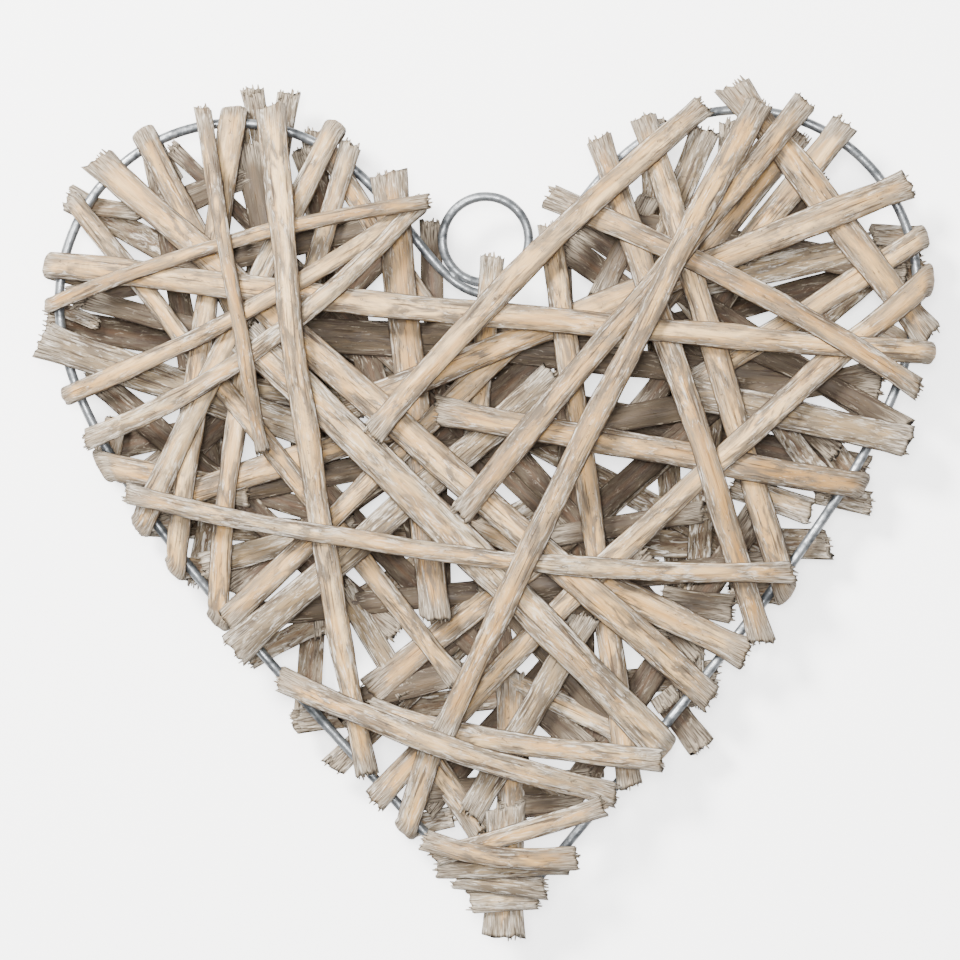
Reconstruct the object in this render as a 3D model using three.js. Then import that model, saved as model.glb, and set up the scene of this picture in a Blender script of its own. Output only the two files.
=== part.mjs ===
// A wicker heart: split willow strips laid over and under a heart of bent wire, with a wire ring to hang it by.
// It lies on its back, with the tip towards -Y, the lobes towards +Y and its front up. Millimetres.
import * as THREE from 'three';

// The wire
const heartWidth = 285; // across the wire's centreline
const heartHeight = 263.5; // from the wire's tip to the top of its lobes
const notchDepth = 61; // how far the notch dips below the lobes
const wireDiameter = 3.2;
const wireSides = 8;
const wireSteps = 76;

// The ring that is welded beside the notch
const ringDiameter = 28.8; // across its centreline
const ringWireDiameter = 3.1;
const ringLean = -0.4; // it sits a little left of the notch's middle
const ringSteps = 28;

// The strips
const touchGap = 0.3; // between pieces that rest on each other
const easing = 0.25; // how far a strip may lift off what carries it, to keep its bends few
const thinnest = 1.5;
const thickest = 2.1;
const thicknessShare = 0.23; // of a strip's width
const crownShare = 0.44; // how much of its width is flat on the bark side
const edgeShare = 0.4; // how much of its thickness stands upright at its edges
const bendChamfer = 0.7; // at the corners of a fold round the wire
const steepest = 0.32; // rise over run where a strip climbs on others
const foldReach = 8; // how far out a fold may go to clear the others
const tuckTaper = 0.8;
const widestSkew = 0.75; // radians that a fold may lean along the wire
const restFrom = 0.2; // the flat stretch of the two strips that it lies on,
const restTo = 0.74; // as shares of their length between the wires

const cell = 1; // grid on which the heap of strips is kept
const step = 0.5;
const margin = 0.5; // kept clear beside every strip
const wireRadius = wireDiameter / 2;

// Ends of a strip. Places on the wire are hours: 12 in the notch, 3 on the right, 6 at the tip.
const cut = (hour, past) => ({ kind: 'cut', hour, past });
const fold = (hour, tuck) => ({ kind: 'fold', hour, past: 0, tuck });
const inside = (hour, share) => ({ kind: 'inside', hour, share, past: 0 });

// Each row: first end, second end, widths at the two ends, and how far it bows to its left.
// An end inside the heart gives the hour that the strip points to, and how far along it stops.
const frontStrips = [
  [fold(11.0, 18), inside(4.77, 0.3), 7, 7, -1.5],
  [cut(3.26, 8), inside(0.32, 0.47), 7.5, 7, -2],
  [cut(1.88, 5), inside(7.01, 0.2), 9, 8, 0],
  [fold(2.48, 16), inside(7.57, 0.34), 8, 8, 0.5],
  [cut(3.35, 11), inside(9.57, 0.24), 10, 10, 0],
  [cut(0, 14), inside(6.28, 0.26), 7.5, 7.5, -2],
  [cut(9.17, 7), inside(4.22, 0.36), 11, 10, 1],
  [fold(10.2, 18), inside(5.83, 0.26), 8.5, 8, 0],
  [fold(8.58, 16), inside(4.16, 0.2), 9, 8, -0.5],
  [inside(8.38, 0.03), inside(2.54, 0.36), 8.5, 8, -1.5],
  [fold(7.84, 20), inside(10.88, 0.57), 7, 7, 4.5],
  [fold(9.78, 22), inside(5.53, 0.76), 7, 7, 1],
  [cut(11.12, 6), inside(7.9, 0.33), 7, 7, 1],
  [cut(11.41, 12), inside(6.28, 0.62), 11, 10, 1],
  [fold(7.76, 20), inside(1.57, 0.55), 7.5, 7, 1.5],
  [cut(7.64, 6), inside(1.9, 0.52), 10.5, 9, 0.5],
  [cut(1.48, 9), cut(2.83, 6), 10.5, 10, 0],
  [cut(2.23, 6), inside(8.43, 0.72), 9.5, 8.5, -1],
  [cut(1.02, 6), fold(4.1, 18), 8.5, 8.5, 0],
  [cut(0.38, 6), cut(5.18, 5), 8, 8, 0],
  [cut(4.47, 6), inside(9.27, 0.38), 10, 9, 0],
  [inside(1.97, 0.66), inside(6.35, 0.94), 9.5, 9, 0],
  [fold(10.58, 20), fold(8.13, 20), 9, 7.5, 0],
  [fold(11.01, 16), fold(8.34, 16), 8, 8, 0],
  [inside(9.22, 0.48), fold(3.6, 22), 9, 9, -1.5],
  [fold(2.67, 20), cut(6.75, 5), 8.5, 7.5, -4.5],
  [cut(9.99, 6), cut(4.7, 6), 10, 9.5, 0],
  [inside(9.85, 0.27), fold(5.0, 20), 12.5, 11.5, 3.5],
  [fold(6.59, 16), inside(0.66, 0.13), 8, 7.5, -2],
  [cut(0.8, 10), cut(4.3, 9), 8.5, 8.5, 1],
  [fold(9.52, 24), fold(2.96, 20), 9.5, 7.5, -2.5],
  [inside(7.35, 0.22), cut(5.1, 7), 8, 7.5, -3],
  [fold(8.96, 18), fold(11.47, 12), 6, 6, -4],
  [cut(8.74, 4), cut(11.49, 9), 6.5, 6, -7.5],
  [fold(9.36, 16), cut(11.41, 12), 5, 5, 3],
  [cut(0.57, 10), cut(3.09, 6), 8, 7, 2.5],
  [cut(1.68, 6), inside(7.27, 0.68), 8.5, 8, -0.5],
  [cut(10.76, 6), fold(6.87, 20), 9, 7.5, -3],
  [cut(10.46, 5), inside(7.22, 0.56), 5.5, 4.5, 0],
  [fold(8.44, 20), fold(4.07, 20), 6.5, 6.5, -6.5],
  [cut(1.23, 5), inside(7.72, 0.66), 8, 7.5, -8.5],
  [fold(1.51, 20), inside(6.61, 0.89), 8.5, 8, -2.5],
  [fold(7.4, 18), fold(5.3, 20), 8, 8, -2.5],
  [inside(0.1, 0.83), cut(6.0, 8), 11, 13, 0],
  [cut(6.1, 5), cut(5.9, 5), 7.5, 7, 0],
  [cut(6.2, 5), cut(5.85, 5), 7.5, 7.5, -1],
  [cut(6.31, 5), cut(5.7, 6), 7.5, 7, 0],
  [fold(5.38, 12), cut(6.38, 3), 6.5, 6.5, 0],
  [fold(6.46, 14), cut(5.66, 6), 7, 7, -1.5],
];

const backStrips = [
  [cut(6.98, 8), cut(2.47, 3), 8, 7.5, 2],
  [cut(9.8, 7), cut(4.08, 3), 8.5, 8, 0],
  [cut(8.68, 4), cut(2.55, 3), 8.5, 8, -3],
  [cut(10.8, 12), cut(8.0, 3), 8, 7.5, 0],
  [cut(9.27, 5), cut(3.51, 4), 10, 9, 3],
  [cut(3.92, 8), cut(8.29, 6), 10, 8.5, 2],
  [cut(7.17, 9), cut(4.63, 4), 8, 8, 0],
];

// The heart lies on these two, which pass over all the others on the back.
const restStrips = [
  [cut(10.95, 4), cut(7.25, 4), 8.5, 8, 2],
  [cut(1.05, 4), cut(4.75, 4), 8.5, 8, -2],
];

const willow = 0xc9b497;
const oldWillow = 0xa08a6c;
const zinc = 0x8c8e90;

const halfWidth = heartWidth / 2;
const front = { side: 1, name: 'front_strip', colour: willow };
const back = { side: -1, name: 'back_strip', colour: oldWillow };

function makeHalfHeart() {
  const at = (across, up) => new THREE.Vector2(across * halfWidth, up * heartHeight);
  const notch = 1 - notchDepth / heartHeight;
  const half = new THREE.CurvePath();
  half.add(new THREE.CubicBezierCurve(at(0, notch), at(0.155, notch), at(0.225, 1), at(0.59, 1)));
  half.add(new THREE.CubicBezierCurve(at(0.59, 1), at(0.816, 1), at(1, 0.899), at(1, 0.774)));
  half.add(new THREE.CubicBezierCurve(at(1, 0.774), at(1, 0.596), at(0.632, 0.38), at(0.035, 0.011)));
  half.add(new THREE.QuadraticBezierCurve(at(0.035, 0.011), at(0.0175, 0), at(0, 0)));
  return half;
}

const halfHeart = makeHalfHeart();

function wirePoint(hour) {
  const h = (hour + 12) % 12;
  const point = halfHeart.getPointAt(h <= 6 ? h / 6 : (12 - h) / 6);
  return h <= 6 ? point : new THREE.Vector2(-point.x, point.y);
}

function wireTangent(hour) {
  const nudge = 0.02;
  return wirePoint(hour + nudge).sub(wirePoint(hour - nudge)).normalize();
}

const leftOf = (v) => new THREE.Vector2(-v.y, v.x);

function meshFrom(name, geometry, colour, roughness, metalness) {
  const material = new THREE.MeshStandardMaterial({ color: colour, roughness, metalness });
  const mesh = new THREE.Mesh(geometry, material);
  mesh.name = name;
  return mesh;
}

// Joins rings of points into one closed skin, with end caps or as an endless loop.
function skin(rings, endless) {
  const count = rings[0].length;
  const triangles = [];
  const spans = endless ? rings.length : rings.length - 1;
  for (let i = 0; i < spans; i += 1) {
    const a = i * count;
    const b = ((i + 1) % rings.length) * count;
    for (let j = 0; j < count; j += 1) {
      const k = (j + 1) % count;
      triangles.push(a + j, a + k, b + k, a + j, b + k, b + j);
    }
  }
  if (!endless) {
    const last = (rings.length - 1) * count;
    for (let j = 1; j < count - 1; j += 1) {
      triangles.push(0, j + 1, j, last, last + j, last + j + 1);
    }
  }
  const points = rings.flat();
  let volume = 0;
  for (let i = 0; i < triangles.length; i += 3) {
    const [p, q, r] = [points[triangles[i]], points[triangles[i + 1]], points[triangles[i + 2]]];
    volume += p.dot(new THREE.Vector3().crossVectors(q, r));
  }
  if (volume < 0) triangles.reverse();
  const geometry = new THREE.BufferGeometry().setFromPoints(points);
  geometry.setIndex(triangles);
  geometry.computeVertexNormals();
  return geometry;
}

function makeHeartWire() {
  const rings = [];
  for (let i = 0; i < wireSteps; i += 1) {
    const hour = (12 * i) / wireSteps;
    const centre = wirePoint(hour);
    const outward = leftOf(wireTangent(hour));
    const ring = [];
    for (let j = 0; j < wireSides; j += 1) {
      const turn = (2 * Math.PI * (j + 0.5)) / wireSides;
      const p = centre.clone().addScaledVector(outward, wireRadius * Math.cos(turn));
      ring.push(new THREE.Vector3(p.x, p.y, wireRadius * Math.sin(turn)));
    }
    rings.push(ring);
  }
  return skin(rings, true);
}

// The ring sits in the notch, as low as it goes without touching the wire.
function placeRing() {
  const apart = (ringDiameter + wireDiameter + ringWireDiameter) / 2 + touchGap;
  const centre = new THREE.Vector2(ringLean, heartHeight - notchDepth + ringDiameter / 2);
  for (let pass = 0; pass < 12; pass += 1) {
    let nearest = Infinity;
    for (let hour = 11; hour <= 13; hour += 0.01) {
      nearest = Math.min(nearest, centre.distanceTo(wirePoint(hour)));
    }
    centre.y += apart - nearest;
  }
  return centre;
}

const ringCentre = placeRing();

// The heap keeps how far the strips already reach out from the wire's plane, on either side.
const room = 45; // around the wire
const columns = Math.ceil((heartWidth + 2 * room) / cell);
const rows = Math.ceil((heartHeight + 2 * room) / cell);
const heaps = new Map([
  [1, new Float32Array(columns * rows).fill(wireRadius)],
  [-1, new Float32Array(columns * rows).fill(wireRadius)],
]);
const taken = new Uint8Array(columns * rows);

function cellAt(p) {
  const column = Math.floor((p.x + halfWidth + room) / cell);
  const row = Math.floor((p.y + room) / cell);
  return row * columns + column;
}

function markWires() {
  const heartSamples = 3600;
  for (let i = 0; i < heartSamples; i += 1) {
    const hour = (12 * i) / heartSamples;
    const centre = wirePoint(hour);
    const outward = leftOf(wireTangent(hour));
    const angle = (2 * Math.PI * i) / heartSamples;
    const ringSpot = new THREE.Vector2(Math.cos(angle), Math.sin(angle));
    for (let off = -wireRadius - margin; off <= wireRadius + margin; off += step) {
      taken[cellAt(centre.clone().addScaledVector(outward, off))] = 1;
      taken[cellAt(ringCentre.clone().addScaledVector(ringSpot, ringDiameter / 2 + off))] = 1;
    }
  }
}

// A rung crosses the strip from its left edge to its right edge, at distance s along it.
const rung = (s, centre, across, half) => ({
  s,
  left: centre.clone().addScaledVector(across, half),
  right: centre.clone().addScaledVector(across, -half),
});

function rungAt(rungs, s) {
  let i = 0;
  while (i < rungs.length - 2 && s > rungs[i + 1].s) i += 1;
  const [a, b] = [rungs[i], rungs[i + 1]];
  const share = (s - a.s) / (b.s - a.s);
  return { s, left: a.left.clone().lerp(b.left, share), right: a.right.clone().lerp(b.right, share) };
}

function visitCells(line, visit) {
  const width = line.left.distanceTo(line.right);
  const across = line.right.clone().sub(line.left).normalize();
  const count = Math.ceil((width + 2 * margin) / step);
  for (let i = 0; i <= count; i += 1) {
    const off = -margin + ((width + 2 * margin) * i) / count;
    visit(cellAt(line.left.clone().addScaledVector(across, off)));
  }
}

// The strip is pulled taut over what lies under it: the upper hull of the heap along its way.
function tautProfile(rungs, side, floorAt) {
  const heap = heaps.get(side);
  const first = rungs[0].s;
  const last = rungs[rungs.length - 1].s;
  const count = Math.ceil((last - first) / step);
  const lift = touchGap + easing;
  const points = [];
  for (let i = 0; i <= count; i += 1) {
    const s = first + ((last - first) * i) / count;
    let high = floorAt(s);
    visitCells(rungAt(rungs, s), (index) => { high = Math.max(high, heap[index]); });
    points.push([s, high + lift]);
  }
  for (const end of [points[0], points[count]]) {
    for (const [s, z] of points) end[1] = Math.max(end[1], z - steepest * Math.abs(s - end[0]));
  }
  const hull = [];
  for (const p of points) {
    while (hull.length > 1) {
      const [a, b] = hull.slice(-2);
      const turn = (b[0] - a[0]) * (p[1] - a[1]) - (b[1] - a[1]) * (p[0] - a[0]);
      if (turn < 0) break;
      hull.pop();
    }
    hull.push(p);
  }
  return simplify(hull);
}

// Leaves out the bends that matter less than the easing.
function simplify(hull) {
  if (hull.length < 3) return hull;
  const [a, b] = [hull[0], hull[hull.length - 1]];
  let worst = 0;
  let at = 0;
  for (let i = 1; i < hull.length - 1; i += 1) {
    const share = (hull[i][0] - a[0]) / (b[0] - a[0]);
    const over = hull[i][1] - (a[1] + (b[1] - a[1]) * share);
    if (over > worst) [worst, at] = [over, i];
  }
  if (worst <= easing) return [a, b];
  return [...simplify(hull.slice(0, at + 1)), ...simplify(hull.slice(at)).slice(1)];
}

function heightAt(profile, s) {
  let i = 0;
  while (i < profile.length - 2 && s > profile[i + 1][0]) i += 1;
  const [a, b] = [profile[i], profile[i + 1]];
  return a[1] + ((b[1] - a[1]) * (s - a[0])) / (b[0] - a[0]);
}

// Stations join the strip's own rungs with the bends of its profile.
function stationsOf(rungs, profile) {
  const nearest = 1.5;
  const stations = rungs.map((r) => ({ ...r, z: heightAt(profile, r.s) }));
  for (const [s, z] of profile) {
    const near = stations.find((r) => Math.abs(r.s - s) < nearest);
    if (near) near.z = Math.max(near.z, z);
    else stations.push({ ...rungAt(rungs, s), z });
  }
  return stations.sort((a, b) => a.s - b.s);
}

function heapUp(stations, side, thickness) {
  const heap = heaps.get(side);
  for (let i = 0; i < stations.length - 1; i += 1) {
    const [a, b] = [stations[i], stations[i + 1]];
    const count = Math.ceil((b.s - a.s + 2 * margin) / step);
    for (let k = 0; k <= count; k += 1) {
      const share = (-margin + ((b.s - a.s + 2 * margin) * k) / count) / (b.s - a.s);
      const line = { left: a.left.clone().lerp(b.left, share), right: a.right.clone().lerp(b.right, share) };
      const inStrip = THREE.MathUtils.clamp(share, 0, 1);
      const high = a.z + (b.z - a.z) * inStrip + thickness;
      visitCells(line, (index) => {
        heap[index] = Math.max(heap[index], high);
        taken[index] = 1;
      });
    }
  }
}

// One section of a strip: flat towards the wire, with a narrower flat crown on the bark side.
function section(line, low, outward, side, thickness) {
  const centre = line.left.clone().add(line.right).multiplyScalar(0.5);
  const spot = (from, share, out) => {
    const p = centre.clone().lerp(from, share).addScaledVector(outward.plan, out);
    return new THREE.Vector3(p.x, p.y, side * (low + outward.rise * out));
  };
  const edge = edgeShare * thickness;
  return [
    spot(line.left, 1, 0),
    spot(line.right, 1, 0),
    spot(line.right, 1, edge),
    spot(line.right, crownShare, thickness),
    spot(line.left, crownShare, thickness),
    spot(line.left, 1, edge),
  ];
}

const noPlan = new THREE.Vector2(0, 0);
const straightUp = { plan: noPlan, rise: 1 };
const shifted = (line, by, amount) => ({
  left: line.left.clone().addScaledVector(by, amount),
  right: line.right.clone().addScaledVector(by, amount),
});

// Finds where a fold clears everything beside the wire, and which way its tail goes back.
function planFold(end, wireSpot, heading, width, thickness) {
  const tangent = wireTangent(end.hour);
  const across = leftOf(heading);
  const along = tangent.dot(across) < 0 ? tangent.clone().negate() : tangent;
  const angle = Math.atan2(across.x * along.y - across.y * along.x, across.dot(along));
  const skew = THREE.MathUtils.clamp(angle, -widestSkew, widestSkew);
  const foldLine = across.clone().rotateAround(noPlan, skew);
  const outward = heading.clone().rotateAround(noPlan, skew);
  const half = width / 2 / Math.cos(skew);
  for (let out = wireRadius + touchGap; out < foldReach; out += step) {
    const centre = wireSpot.clone().addScaledVector(heading, out);
    let free = true;
    for (let off = -margin; off <= thickness + margin; off += step) {
      const line = rung(0, centre.clone().addScaledVector(outward, off), foldLine, half);
      visitCells(line, (index) => { free = free && !taken[index]; });
    }
    if (free) {
      const tail = heading.clone().addScaledVector(outward, -2 * heading.dot(outward));
      return { out, centre, foldLine, outward, half, tail, lean: half * Math.abs(Math.sin(skew)) };
    }
  }
  return null;
}

// The bend round the wire and the tail tucked under it, as sections that follow the strip's last one.
function wrapRound(bend, end, high, width, side, thickness) {
  const inner = rung(0, bend.centre, bend.foldLine, bend.half);
  const start = shifted(inner, bend.outward, -bendChamfer);
  const tailAcross = leftOf(bend.tail);
  if (tailAcross.dot(bend.foldLine) < 0) tailAcross.negate();
  const tailEnd = bend.centre.clone().addScaledVector(bend.tail, end.tuck);
  const rungs = [{ s: 0, ...start }, rung(end.tuck, tailEnd, tailAcross, (width * tuckTaper) / 2)];
  const stations = stationsOf(rungs, tautProfile(rungs, -side, () => 0));
  const deep = stations[0].z;
  const sideways = { plan: bend.outward, rise: 0 };
  const sections = [
    section(inner, high - bendChamfer, sideways, side, thickness),
    section(inner, -deep + bendChamfer, sideways, side, thickness),
    ...stations.map((line) => section(line, line.z, straightUp, -side, thickness)),
  ];
  const outer = shifted(inner, bend.outward, thickness);
  heapUp([{ ...start, s: 0, z: high }, { ...outer, s: 1, z: high }], side, thickness);
  heapUp([{ ...start, s: 0, z: deep }, { ...outer, s: 1, z: deep }], -side, thickness);
  heapUp(stations, -side, thickness);
  return sections;
}

function layStrip([from, to, widthFrom, widthTo, bow], side, restHeight) {
  const start = wirePoint(from.hour);
  const chord = wirePoint(to.hour).sub(start);
  const length = chord.length();
  const heading = chord.normalize();
  const leftward = leftOf(heading);
  const meanWidth = (widthFrom + widthTo) / 2;
  const thickness = THREE.MathUtils.clamp(thicknessShare * meanWidth, thinnest, thickest);
  const widthAt = (s) => THREE.MathUtils.lerp(widthFrom, widthTo, THREE.MathUtils.clamp(s / length, 0, 1));
  const centreAt = (s) => {
    const share = s / length;
    return start.clone().addScaledVector(heading, s).addScaledVector(leftward, 4 * bow * share * (1 - share));
  };
  const headingAt = (s) => centreAt(s + step).sub(centreAt(s - step)).normalize();
  const squareRung = (s) => rung(s, centreAt(s), leftOf(headingAt(s)), widthAt(s) / 2);

  const reach = (end, wireShare, way) => {
    const wireAt = wireShare * length;
    const towards = headingAt(wireAt).multiplyScalar(way);
    const width = widthAt(wireAt);
    const bend = end.kind === 'fold' ? planFold(end, centreAt(wireAt), towards, width, thickness) : null;
    if (!bend) {
      const past = end.kind === 'fold' ? wireRadius : end.past;
      return { at: end.kind === 'inside' ? end.share * length : wireAt + way * past, rungs: [] };
    }
    const at = wireAt + way * (bend.out - bendChamfer);
    const spot = bend.centre.clone().addScaledVector(bend.outward, -bendChamfer);
    const acrossWay = bend.foldLine.clone().multiplyScalar(way);
    const slanted = rung(at, spot, acrossWay, bend.half);
    const square = squareRung(at - way * (bend.lean + 1));
    return { at, bend, width, rungs: [slanted, square] };
  };
  const head = reach(from, 0, -1);
  const foot = reach(to, 1, 1);
  const rungs = [...(head.bend ? head.rungs : [squareRung(head.at)])];
  rungs.push(...(foot.bend ? foot.rungs : [squareRung(foot.at)]));
  const bends = Math.abs(bow) > 1 ? Math.min(6, 1 + Math.ceil(Math.abs(bow))) : 0;
  for (let i = 1; i <= bends; i += 1) {
    const s = THREE.MathUtils.lerp(head.at, foot.at, i / (bends + 1));
    if (rungs.every((r) => Math.abs(r.s - s) > 4)) rungs.push(squareRung(s));
  }
  rungs.sort((a, b) => a.s - b.s);

  const flatFrom = restFrom * length;
  const flatTo = restTo * length;
  const floorAt = (s) => (restHeight && s >= flatFrom && s <= flatTo ? restHeight : 0);
  const stations = stationsOf(rungs, tautProfile(rungs, side, floorAt));
  heapUp(stations, side, thickness);
  const sections = stations.map((line) => section(line, line.z, straightUp, side, thickness));
  if (foot.bend) {
    sections.push(...wrapRound(foot.bend, to, stations.at(-1).z, foot.width, side, thickness));
  }
  if (head.bend) {
    const wrapped = wrapRound(head.bend, from, stations[0].z, head.width, side, thickness);
    sections.unshift(...wrapped.map(mirrorSection).reverse());
  }
  return skin(sections, false);
}

// A fold at the first end runs the other way, so its left and right change places.
const mirrorSection = ([a, b, c, d, e, f]) => [b, a, f, e, d, c];

function buildHeart() {
  const heart = new THREE.Group();
  heart.add(meshFrom('heart_wire_frame', makeHeartWire(), zinc, 0.35, 0.9));
  const torus = new THREE.TorusGeometry(ringDiameter / 2, ringWireDiameter / 2, wireSides, ringSteps);
  const ring = meshFrom('hanging_ring', torus, zinc, 0.35, 0.9);
  ring.position.set(ringCentre.x, ringCentre.y, 0);
  heart.add(ring);
  markWires();
  const layAll = (table, kind, firstNumber, restHeight) => {
    table.forEach((row, i) => {
      const name = `${kind.name}_${String(firstNumber + i).padStart(2, '0')}`;
      heart.add(meshFrom(name, layStrip(row, kind.side, restHeight), kind.colour, 0.8, 0));
    });
  };
  layAll(frontStrips, front, 1);
  layAll(backStrips, back, 1);
  const restHeight = heaps.get(back.side).reduce((high, value) => Math.max(high, value), 0);
  layAll(restStrips, back, backStrips.length + 1, restHeight);
  return heart;
}

// The origin is under the middle of the heart, on the surface that it lies on.
const heart = buildHeart();
heart.updateMatrixWorld(true);
const bounds = new THREE.Box3().setFromObject(heart, true);
const middle = bounds.getCenter(new THREE.Vector3());
heart.position.set(-middle.x, -middle.y, -bounds.min.z);

export default heart;
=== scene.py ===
import math
import random

import bmesh
import bpy
from mathutils import Matrix, Vector, noise


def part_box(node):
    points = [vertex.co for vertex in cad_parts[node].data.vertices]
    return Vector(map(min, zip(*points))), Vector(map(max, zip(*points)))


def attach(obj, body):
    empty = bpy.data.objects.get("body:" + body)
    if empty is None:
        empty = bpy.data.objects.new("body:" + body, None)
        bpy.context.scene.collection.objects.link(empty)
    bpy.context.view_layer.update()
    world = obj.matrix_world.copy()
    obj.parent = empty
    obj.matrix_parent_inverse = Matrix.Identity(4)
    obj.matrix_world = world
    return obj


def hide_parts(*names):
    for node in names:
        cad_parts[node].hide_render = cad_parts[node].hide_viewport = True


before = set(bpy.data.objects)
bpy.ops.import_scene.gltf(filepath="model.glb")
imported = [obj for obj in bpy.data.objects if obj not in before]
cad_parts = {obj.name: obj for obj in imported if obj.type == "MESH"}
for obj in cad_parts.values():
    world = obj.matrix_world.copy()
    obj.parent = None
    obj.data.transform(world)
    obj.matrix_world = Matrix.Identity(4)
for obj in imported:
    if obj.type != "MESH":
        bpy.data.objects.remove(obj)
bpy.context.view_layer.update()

mm = 0.001
white = (1.0, 1.0, 1.0, 1.0)
mergeDistance = 1e-6
wireLow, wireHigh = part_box("heart_wire_frame")
wirePlane = (wireLow.z + wireHigh.z) / 2
print("frame loaded:", len(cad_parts), "nodes, wire plane at", round(wirePlane, 4))


# Small helpers for meshes and shader trees

def newPiece(name, bm, material, nodes=()):
    mesh = bpy.data.meshes.new(name)
    bm.to_mesh(mesh)
    bm.free()
    mesh.shade_smooth()
    mesh.materials.append(material)
    piece = bpy.data.objects.new(name, mesh)
    bpy.context.scene.collection.objects.link(piece)
    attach(piece, "root")
    if nodes:
        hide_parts(*nodes)
    return piece


def newMaterial(name):
    material = bpy.data.materials.new(name)
    material.use_nodes = True
    tree = material.node_tree
    return material, tree, tree.nodes["Principled BSDF"]


def addNode(tree, kind, inputs=None, **settings):
    node = tree.nodes.new(kind)
    for key, value in settings.items():
        setattr(node, key, value)
    for key, value in (inputs or {}).items():
        node.inputs[key].default_value = value
    return node


def feed(tree, socket, value):
    if isinstance(value, (int, float, tuple)):
        socket.default_value = value
    else:
        tree.links.new(value, socket)


def addMath(tree, operation, a, b, clamp=False):
    node = addNode(tree, "ShaderNodeMath", operation=operation, use_clamp=clamp)
    feed(tree, node.inputs[0], a)
    feed(tree, node.inputs[1], b)
    return node.outputs[0]


def addMix(tree, share, a, b):
    node = addNode(tree, "ShaderNodeMix", data_type="RGBA")
    for index, value in ((0, share), (6, a), (7, b)):      # 6 and 7 are the colour sockets
        feed(tree, node.inputs[index], value)
    return node.outputs[2]


def addRamp(tree, value, low, high):
    limits = {"From Min": low, "From Max": high}
    node = addNode(tree, "ShaderNodeMapRange", limits, interpolation_type="SMOOTHSTEP")
    tree.links.new(value, node.inputs["Value"])
    return node.outputs["Result"]


def addBand(tree, value, low, middle, high):
    rise = addRamp(tree, value, low, middle)
    fall = addMath(tree, "SUBTRACT", 1.0, addRamp(tree, value, middle, high))
    return addMath(tree, "MULTIPLY", rise, fall)


def addNoise(tree, vector, across, along, octaves, rough, distortion, shift):
    place = {"Scale": (across, along, 1.0), "Location": (shift, shift, shift)}
    mapping = addNode(tree, "ShaderNodeMapping", place)
    tree.links.new(vector, mapping.inputs["Vector"])
    values = {"Scale": 1.0, "Detail": octaves, "Roughness": rough, "Distortion": distortion}
    node = addNode(tree, "ShaderNodeTexNoise", values)
    tree.links.new(mapping.outputs[0], node.inputs["Vector"])
    return node.outputs["Fac"]


# A glow that camera rays see far brighter than other rays do: pale in the picture, and it lights little
def addSeenGlow(tree, glow, seenGlow, shade=None):
    seen = addNode(tree, "ShaderNodeLightPath").outputs["Is Camera Ray"]
    if shade is not None:
        seen = addMath(tree, "MULTIPLY", seen, shade)
    return addMath(tree, "ADD", addMath(tree, "MULTIPLY", seen, seenGlow - glow), glow)


# One channel of an sRGB colour, 0 to 255, made linear
def linearOf(value):
    share = value / 255
    return share / 12.92 if share < 0.04045 else ((share + 0.055) / 1.055) ** 2.4


def colour(red, green, blue):
    return (linearOf(red), linearOf(green), linearOf(blue), 1.0)


# Willow grain. UV x runs across the strip and y along it, both in centimetres.
# Each noise: its waves across and along, octaves, roughness, distortion and shift.
grainNoise = {
    "tone": (0.3, 0.08, 2.0, 0.5, 0.0, 2.2),
    "streak": (3.0, 0.22, 3.0, 0.6, 0.4, 0.0),
    "fibre": (26.0, 1.6, 2.0, 0.6, 0.0, 3.1),
    "limeSpot": (7.0, 1.3, 4.0, 0.7, 1.2, 7.7),
    "patch": (0.7, 0.35, 2.0, 0.5, 0.6, 9.4),
    "greySpot": (1.3, 0.55, 4.0, 0.62, 0.9, 12.3),
    "stain": (2.4, 0.6, 4.0, 0.62, 1.0, 17.9),
    "crack": (13.0, 0.5, 2.0, 0.5, 0.0, 21.9),
    "speck": (8.0, 4.0, 2.0, 0.6, 1.2, 31.4),
    "pithFibre": (13.0, 1.92, 3.0, 0.7, 0.5, 44.0),
}
knotScale = (0.8, 0.17, 1.0)     # cells to the centimetre, across and along; few of them hold a knot

# Where each mask begins and is full, and for a band also where it ends
grainRamp = {
    "fibre": (0.34, 0.62), "edge": (0.15, 0.9), "streak": (0.38, 0.64), "tone": (0.4, 0.66),
    "darkFibre": (0.48, 0.72), "grey": (0.45, 0.72), "worn": (0.34, 0.56), "stain": (0.47, 0.62),
    "lime": (0.54, 0.7), "whiteLine": (0.8, 0.9, 0.98), "whiteSpot": (0.49, 0.62),
    "edgeShadeLine": (0.86, 1.0), "edgeShadePlace": (0.36, 0.52), "crack": (0.63, 0.7), "speck": (0.63, 0.71),
    "speckPlace": (0.4, 0.56), "knotPlace": (0.5, 0.56), "knot": (0.05, 0.085, 0.13), "pith": (0.35, 0.66),
    "pithLine": (0.05, 0.3), "pithLime": (0.53, 0.7), "endFibre": (0.36, 0.6), "end": (0.4, 1.1),
    "crackDepth": (0.6, 0.68), "endDepth": (0.15, 0.85),
}

# How strongly each mask shows, or how far one value adds to another
grainShare = {
    # the grey at the edges and the dark edge line also stand as painted shade along the strips' rounded
    # sides
    "tone": 0.7, "darkFibre": 0.22, "greyAndShadeAtEdge": 0.24, "greyInFibre": 0.35, "stainAtEdge": 0.06,
    "stainWhereWorn": 0.8, "stain": 0.85, "stainDark": 0.58, "limeAtEdge": 0.05, "limeInFibre": 0.6,
    "limeWhereWorn": 0.75, "lime": 0.8, "whiteLine": 0.65, "edgeShadeLine": 0.7, "crackWhereGrey": 0.08,
    "crackWhereWorn": 0.75, "crack": 0.75, "speck": 0.75, "knotWobble": 0.06, "knot": 0.55, "pithLine": 0.5,
    "pithLimeWhereWorn": 0.5, "pith": 0.9, "endWhereGrey": 0.5, "end": 0.85,
    "roughWhereGrey": 0.25, "roughPith": 0.15,
}

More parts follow.
